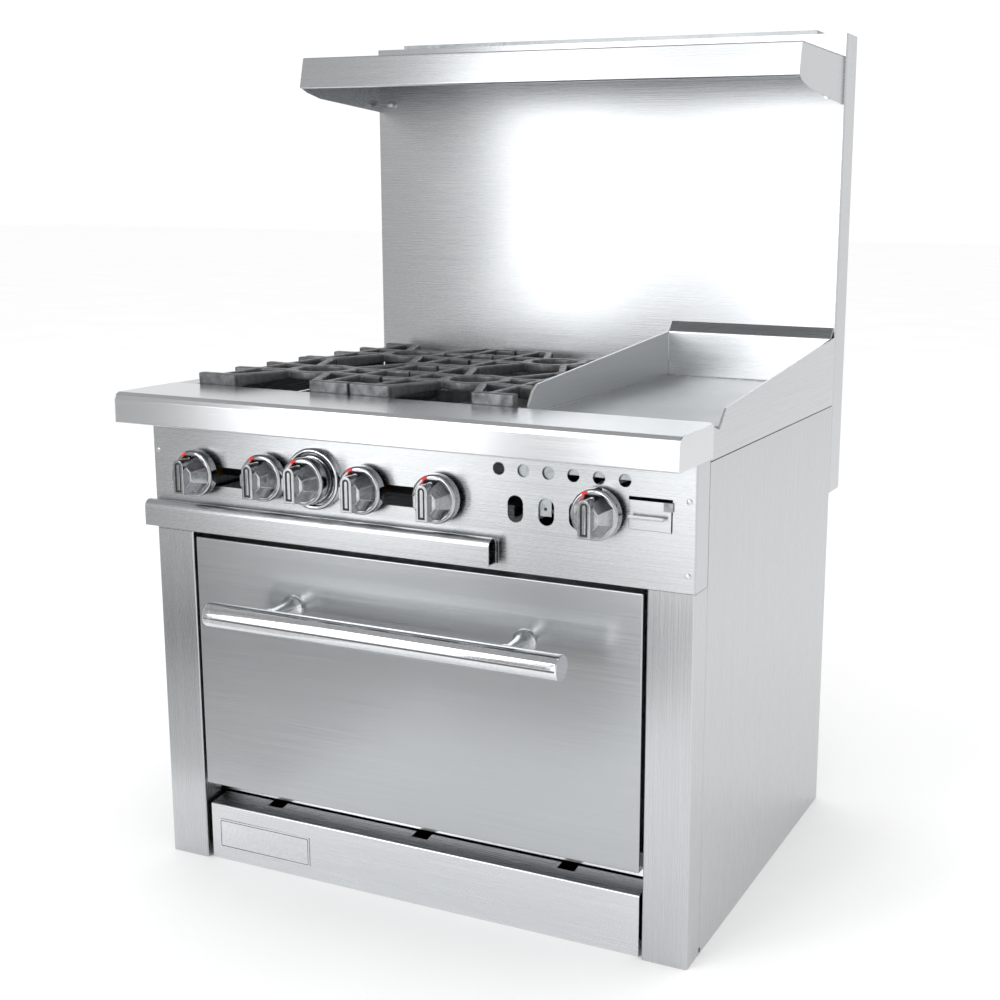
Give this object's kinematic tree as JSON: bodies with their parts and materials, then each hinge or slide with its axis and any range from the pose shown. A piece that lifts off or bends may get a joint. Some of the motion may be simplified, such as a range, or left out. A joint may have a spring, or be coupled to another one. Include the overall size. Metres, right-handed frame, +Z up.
{
  "type": "commercial gas range",
  "caption": "Stainless steel restaurant gas range with open burners under cast grates, a griddle with splash guards, an oven with a drop-down door, and a backguard with a high shelf.",
  "frame": {"origin": "on the floor under the middle of the range, at the centre of its footprint from the door handle to the back of the backguard", "axes": "+X to the right as seen by the cook, +Y towards the wall behind the range, +Z up"},
  "size_m": [0.9144, 0.826, 1.343],
  "materials": {
    "stainless": "brushed stainless sheet",
    "galvanised": "dull galvanised sheet",
    "chrome": "polished plating",
    "griddle_steel": "ground steel plate",
    "cast_iron": "matte black cast iron",
    "enamel": "dark porcelain enamel",
    "rack_wire": "bright plated wire",
    "black_pipe": "black steel pipe",
    "brass": "machined brass",
    "gasket": "braided heat-resistant cord"
  },
  "bodies": {
    "range_body": {"backguard": "stainless", "backguard_cover": "galvanised", "base_pan": "galvanised", "burner_valve_1": "brass", "burner_valve_2": "brass", "burner_valve_3": "brass", "burner_valve_4": "brass", "control_panel": "stainless", "door_hinge_left": "galvanised", "door_hinge_right": "galvanised", "flue_duct": "galvanised", "front_ledge": "stainless", "gas_manifold": "black_pipe", "grease_trough": "stainless", "griddle_burner": "black_pipe", "griddle_left_splash": "stainless", "griddle_plate": "griddle_steel", "griddle_rear_splash": "stainless", "griddle_right_splash": "stainless", "griddle_valve": "brass", "high_shelf": "stainless", "kick_panel": "stainless", "left_front_post": "stainless", "left_side_panel": "stainless", "name_plate": "chrome", "open_burner_1": "cast_iron", "open_burner_2": "cast_iron", "open_burner_3": "cast_iron", "open_burner_4": "cast_iron", "oven_burner": "black_pipe", "oven_floor": "enamel", "oven_front_frame": "stainless", "oven_liner": "enamel", "oven_thermostat": "galvanised", "rack_guide_left": "rack_wire", "rack_guide_right": "rack_wire", "rear_panel": "galvanised", "right_front_post": "stainless", "right_side_panel": "stainless", "thermostat_bezel": "chrome", "top_frame": "stainless"},
    "oven_door": {"door_outer_skin": "stainless", "door_inner_panel": "galvanised", "door_gasket": "gasket", "door_handle": "chrome", "handle_post_left": "chrome", "handle_post_right": "chrome"},
    "oven_rack_body": {"oven_rack": "rack_wire"},
    "crumb_tray_body": {"crumb_tray": "stainless"},
    "grease_drawer_body": {"grease_drawer": "stainless"},
    "front_left_grate_body": {"front_left_grate": "cast_iron"},
    "front_right_grate_body": {"front_right_grate": "cast_iron"},
    "rear_left_grate_body": {"rear_left_grate": "cast_iron"},
    "rear_right_grate_body": {"rear_right_grate": "cast_iron"},
    "burner_knob_1_body": {"burner_knob_1": "chrome"},
    "burner_knob_2_body": {"burner_knob_2": "chrome"},
    "burner_knob_3_body": {"burner_knob_3": "chrome"},
    "burner_knob_4_body": {"burner_knob_4": "chrome"},
    "griddle_knob_body": {"griddle_knob": "chrome"},
    "oven_knob_body": {"oven_knob": "chrome"}
  },
  "joints": [
    {"name": "oven_door_hinge", "type": "hinge", "parent": "range_body", "child": "oven_door", "pos_m": [0, -0.286, 0.145], "axis": [1, 0, 0], "range_deg": [0, 88], "stiffness_Nm_per_rad": 11, "springref_deg": -28.65},
    {"name": "burner_knob_1_turn", "type": "hinge", "parent": "range_body", "child": "burner_knob_1_body", "pos_m": [-0.361, -0.32, 0.645], "axis": [0, -1, 0], "range_deg": [0, 90]},
    {"name": "burner_knob_2_turn", "type": "hinge", "parent": "range_body", "child": "burner_knob_2_body", "pos_m": [-0.2335, -0.32, 0.649], "axis": [0, -1, 0], "range_deg": [0, 90]},
    {"name": "burner_knob_3_turn", "type": "hinge", "parent": "range_body", "child": "burner_knob_3_body", "pos_m": [-0.06, -0.32, 0.646], "axis": [0, -1, 0], "range_deg": [0, 90]},
    {"name": "burner_knob_4_turn", "type": "hinge", "parent": "range_body", "child": "burner_knob_4_body", "pos_m": [0.065, -0.32, 0.645], "axis": [0, -1, 0], "range_deg": [0, 90]},
    {"name": "griddle_knob_turn", "type": "hinge", "parent": "range_body", "child": "griddle_knob_body", "pos_m": [0.3145, -0.32, 0.647], "axis": [0, -1, 0], "range_deg": [0, 90]},
    {"name": "oven_knob_turn", "type": "hinge", "parent": "range_body", "child": "oven_knob_body", "pos_m": [-0.15, -0.332, 0.653], "axis": [0, -1, 0], "range_deg": [0, 270]},
    {"name": "crumb_tray_slide", "type": "slide", "parent": "range_body", "child": "crumb_tray_body", "axis": [0, -1, 0], "range_m": [0, 0.45]},
    {"name": "grease_drawer_slide", "type": "slide", "parent": "range_body", "child": "grease_drawer_body", "axis": [0, -1, 0], "range_m": [0, 0.3]},
    {"name": "oven_rack_slide", "type": "slide", "parent": "range_body", "child": "oven_rack_body", "axis": [0, -1, 0], "range_m": [0, 0.025]},
    {"name": "front_left_grate_lift", "type": "slide", "parent": "range_body", "child": "front_left_grate_body", "axis": [0, 0, 1], "range_m": [0, 0.1]},
    {"name": "front_right_grate_lift", "type": "slide", "parent": "range_body", "child": "front_right_grate_body", "axis": [0, 0, 1], "range_m": [0, 0.1]},
    {"name": "rear_left_grate_lift", "type": "slide", "parent": "range_body", "child": "rear_left_grate_body", "axis": [0, 0, 1], "range_m": [0, 0.1]},
    {"name": "rear_right_grate_lift", "type": "slide", "parent": "range_body", "child": "rear_right_grate_body", "axis": [0, 0, 1], "range_m": [0, 0.1]}
  ]
}
